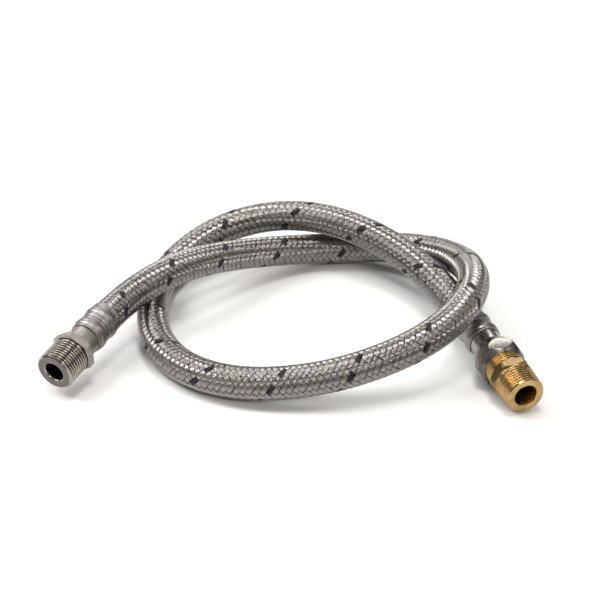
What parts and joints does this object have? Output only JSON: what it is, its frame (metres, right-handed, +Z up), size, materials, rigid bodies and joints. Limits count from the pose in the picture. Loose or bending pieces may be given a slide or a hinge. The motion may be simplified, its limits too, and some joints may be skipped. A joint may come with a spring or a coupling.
{
  "type": "braided supply line",
  "caption": "Flexible rubber-lined hose in a woven steel sleeve, with a fixed male pipe thread at one end and a swivel union nut holding a brass threaded adapter at the other.",
  "frame": {"origin": "on the surface the line lies on, midway between the outer limits of the two end fittings", "axes": "+X from the male end towards the swivel end, +Y back towards the loop, +Z up"},
  "size_m": [0.2056, 0.1359, 0.0338],
  "materials": {
    "liner_rubber": "matt black rubber",
    "stainless_braid": "woven bright stainless wire with one black tracer strand",
    "nickel_plate": "satin nickel plate over brass",
    "ferrule_steel": "drawn stainless sleeve, crimped",
    "washer_fibre": "black sealing washer",
    "bare_brass": "machined bare brass"
  },
  "bodies": {
    "hose_line": {"rubber_liner": "liner_rubber", "braid_sleeve": "stainless_braid", "male_hose_tail": "nickel_plate", "male_end_ferrule": "ferrule_steel", "swivel_end_ferrule": "ferrule_steel", "swivel_hose_tail": "nickel_plate", "sealing_washer": "washer_fibre"},
    "nut": {"union_nut": "nickel_plate"},
    "adapter": {"brass_adapter": "bare_brass"}
  },
  "joints": [
    {"name": "nut_turn", "type": "hinge", "parent": "hose_line", "child": "nut", "pos_m": [0.08671, -0.00125, 0.00983], "axis": [-0.3329, 0.9425, 0.0283], "range_deg": [0, 2165]},
    {"name": "adapter_travel", "type": "slide", "parent": "hose_line", "child": "adapter", "axis": [0.3329, -0.9425, -0.0283], "range_m": [0, 0.00802]}
  ],
  "couplings": [
    {"joint": "nut_turn", "follows": "adapter_travel", "rad_per_m": 4699.5}
  ]
}
